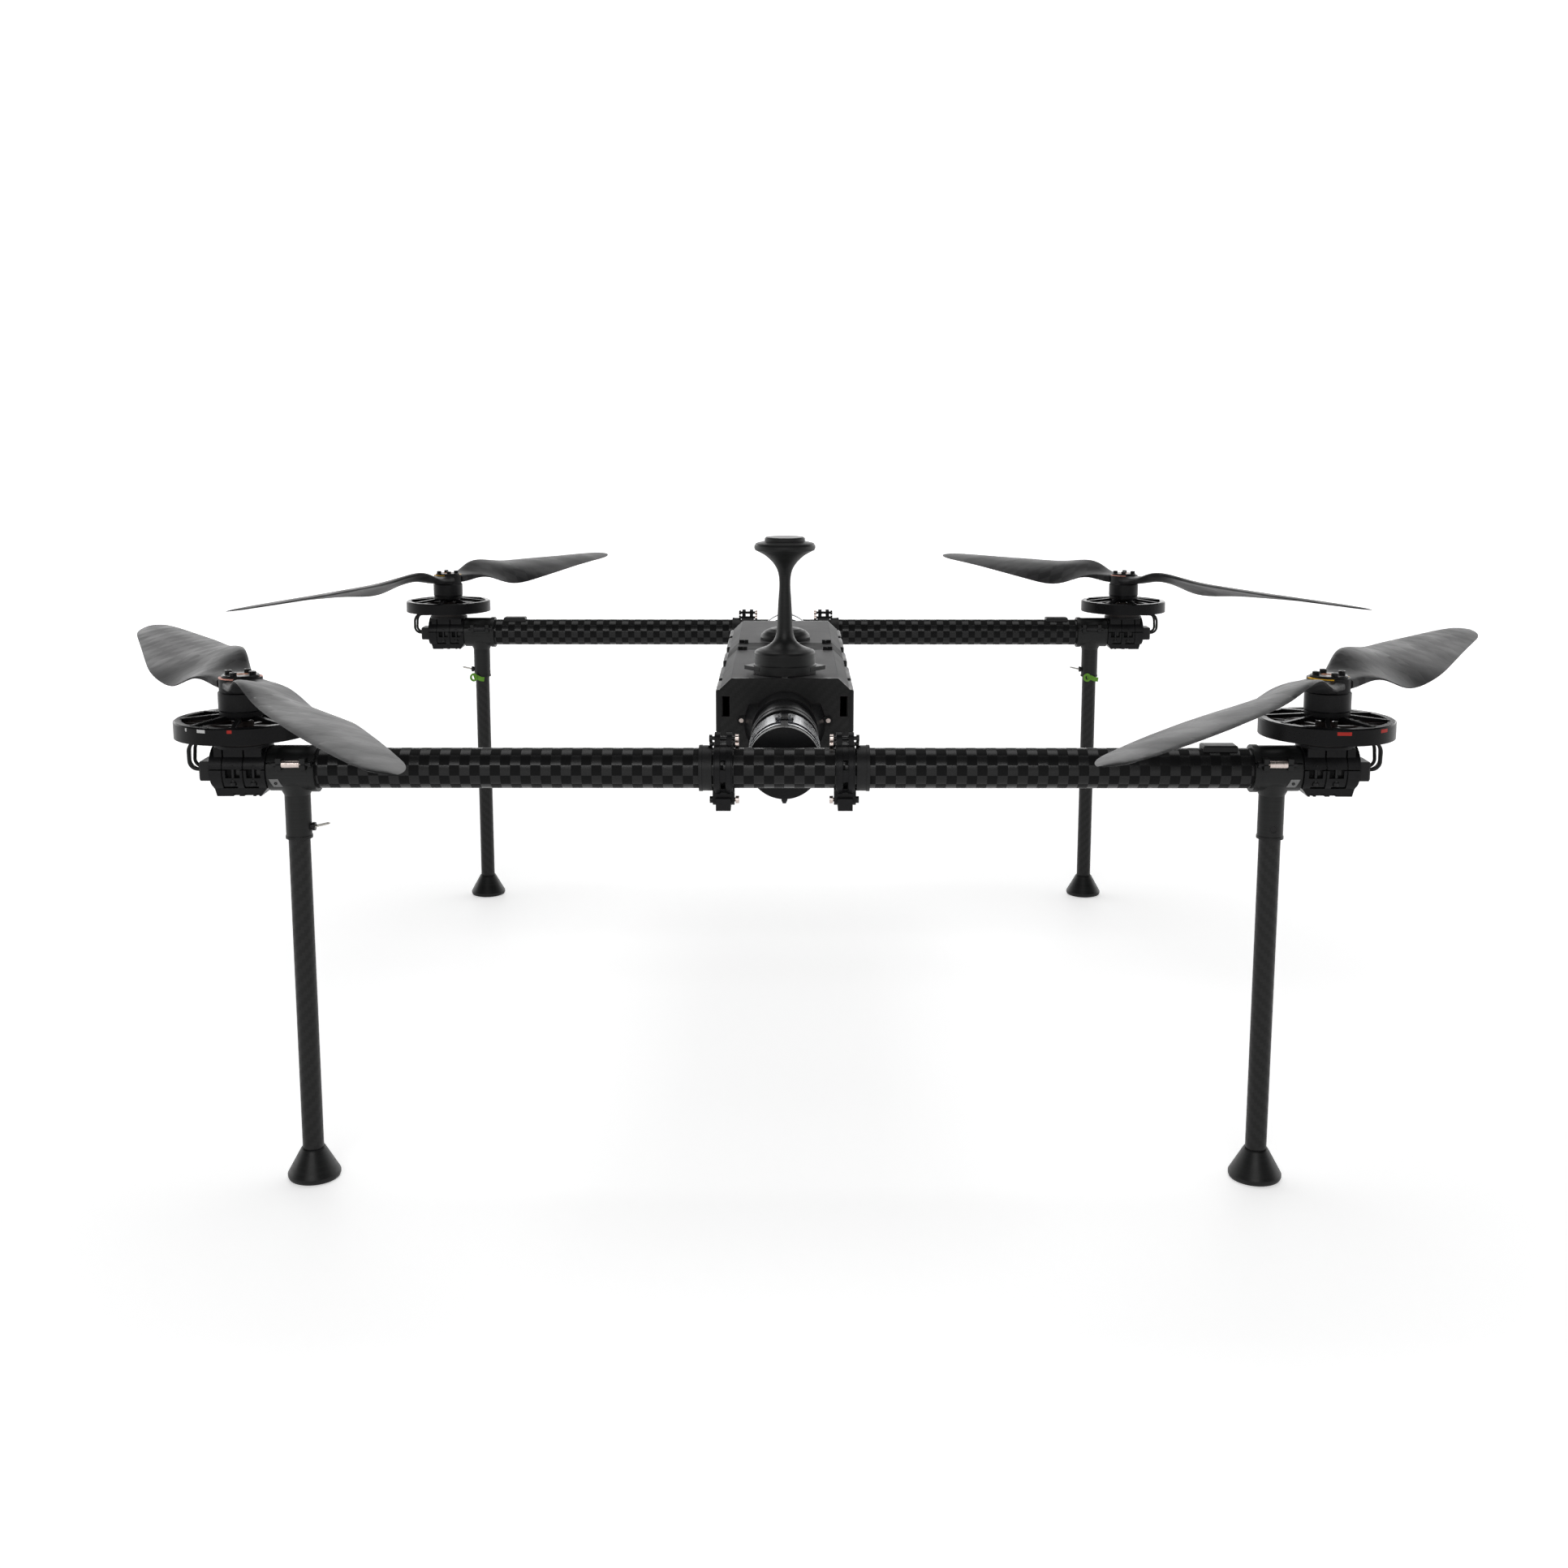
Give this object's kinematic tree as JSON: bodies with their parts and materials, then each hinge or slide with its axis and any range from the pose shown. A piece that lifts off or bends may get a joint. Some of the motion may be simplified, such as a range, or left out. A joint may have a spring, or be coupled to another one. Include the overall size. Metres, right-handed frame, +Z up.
{
  "type": "quadcopter drone",
  "caption": "Tube-framed quadcopter with a box fuselage between two cross tubes, two-blade rotors on pancake motors, tall straight legs and an antenna mast.",
  "frame": {"origin": "on the ground, midway between the four motor axes and under the middle of the fuselage", "axes": "+Z up, the nose with the antenna mast looks along -Y, +X runs along the cross tubes"},
  "size_m": [1.2123, 1.4842, 0.4756],
  "materials": {
    "carbon_tube": "satin carbon weave",
    "carbon_plate": "twill carbon, satin",
    "carbon_blade": "dark grey carbon weave, satin",
    "black_aluminium": "black anodised",
    "bright_band": "polished dark anodised",
    "moulded_black": "satin moulded black",
    "cover_grey": "satin dark grey",
    "steel": "bright steel",
    "black_steel": "black motor steel",
    "winding": "lacquered copper and laminations",
    "bearing_steel": "ground steel",
    "wire_black": "black silicone insulation",
    "battery_wrap": "shrink wrap",
    "circuit": "solder mask"
  },
  "bodies": {
    "airframe": {"arm_tube_front_left": "carbon_tube", "leg_tube_front_left": "carbon_tube", "arm_tube_front_right": "carbon_tube", "leg_tube_front_right": "carbon_tube", "arm_tube_rear_left": "carbon_tube", "leg_tube_rear_left": "carbon_tube", "arm_tube_rear_right": "carbon_tube", "leg_tube_rear_right": "carbon_tube", "leg_tees": "moulded_black", "leg_feet": "moulded_black", "centre_tubes": "carbon_tube", "arm_collars": "moulded_black", "motor_mounts": "black_aluminium", "mount_caps": "black_aluminium", "motor_stators": "winding", "motor_bearings": "bearing_steel", "motor_leads": "wire_black", "arm_end_plugs": "moulded_black", "nav_lights": "moulded_black", "speed_controllers": "circuit", "rails": "black_aluminium", "tube_clamps": "black_aluminium", "fasteners": "steel", "front_bulkhead": "carbon_plate", "rear_bulkhead": "carbon_plate", "side_panel_left": "carbon_plate", "side_panel_right": "carbon_plate", "bottom_panel": "carbon_plate", "mid_frame": "moulded_black", "hinge_pins": "steel", "side_brackets": "moulded_black", "front_neck": "black_aluminium", "rear_neck": "black_aluminium", "neck_clamps": "bright_band", "front_battery": "battery_wrap", "rear_battery": "battery_wrap", "flight_controller": "moulded_black", "power_board": "circuit"},
    "rotor_front_left": {"rotor_bell_front_left": "black_steel", "prop_fittings_front_left": "black_aluminium", "propeller_front_left": "carbon_blade"},
    "rotor_front_right": {"rotor_bell_front_right": "black_steel", "prop_fittings_front_right": "black_aluminium", "propeller_front_right": "carbon_blade"},
    "rotor_rear_left": {"rotor_bell_rear_left": "black_steel", "prop_fittings_rear_left": "black_aluminium", "propeller_rear_left": "carbon_blade"},
    "rotor_rear_right": {"rotor_bell_rear_right": "black_steel", "prop_fittings_rear_right": "black_aluminium", "propeller_rear_right": "carbon_blade"},
    "pin_front_left": {"leg_pin_front_left": "steel"},
    "pin_front_right": {"leg_pin_front_right": "steel"},
    "pin_rear_left": {"leg_pin_rear_left": "steel"},
    "pin_rear_right": {"leg_pin_rear_right": "steel"},
    "front_lid": {"front_cover": "cover_grey", "gnss_mast": "moulded_black", "gnss_antenna": "moulded_black"},
    "rear_lid": {"rear_cover": "cover_grey", "top_puck": "moulded_black"}
  },
  "joints": [
    {"name": "spin_front_left", "type": "hinge", "parent": "airframe", "child": "rotor_front_left", "pos_m": [-0.4, -0.4, 0.359], "axis": [0, 0, 1], "continuous": true},
    {"name": "spin_front_right", "type": "hinge", "parent": "airframe", "child": "rotor_front_right", "pos_m": [0.4, -0.4, 0.359], "axis": [0, 0, 1], "continuous": true},
    {"name": "spin_rear_left", "type": "hinge", "parent": "airframe", "child": "rotor_rear_left", "pos_m": [-0.4, 0.4, 0.359], "axis": [0, 0, 1], "continuous": true},
    {"name": "spin_rear_right", "type": "hinge", "parent": "airframe", "child": "rotor_rear_right", "pos_m": [0.4, 0.4, 0.359], "axis": [0, 0, 1], "continuous": true},
    {"name": "pull_pin_front_left", "type": "slide", "parent": "airframe", "child": "pin_front_left", "axis": [1, 0, 0], "range_m": [0, 0.03]},
    {"name": "pull_pin_front_right", "type": "slide", "parent": "airframe", "child": "pin_front_right", "axis": [0, 1, 0], "range_m": [0, 0.03]},
    {"name": "pull_pin_rear_left", "type": "slide", "parent": "airframe", "child": "pin_rear_left", "axis": [-1, 0, 0], "range_m": [0, 0.03]},
    {"name": "pull_pin_rear_right", "type": "slide", "parent": "airframe", "child": "pin_rear_right", "axis": [-1, 0, 0], "range_m": [0, 0.03]},
    {"name": "front_lid_hinge", "type": "hinge", "parent": "airframe", "child": "front_lid", "pos_m": [0, -0.0248, 0.3592], "axis": [-1, 0, 0], "range_deg": [0, 60]},
    {"name": "rear_lid_hinge", "type": "hinge", "parent": "airframe", "child": "rear_lid", "pos_m": [0, 0.0248, 0.3592], "axis": [1, 0, 0], "range_deg": [0, 90]}
  ]
}
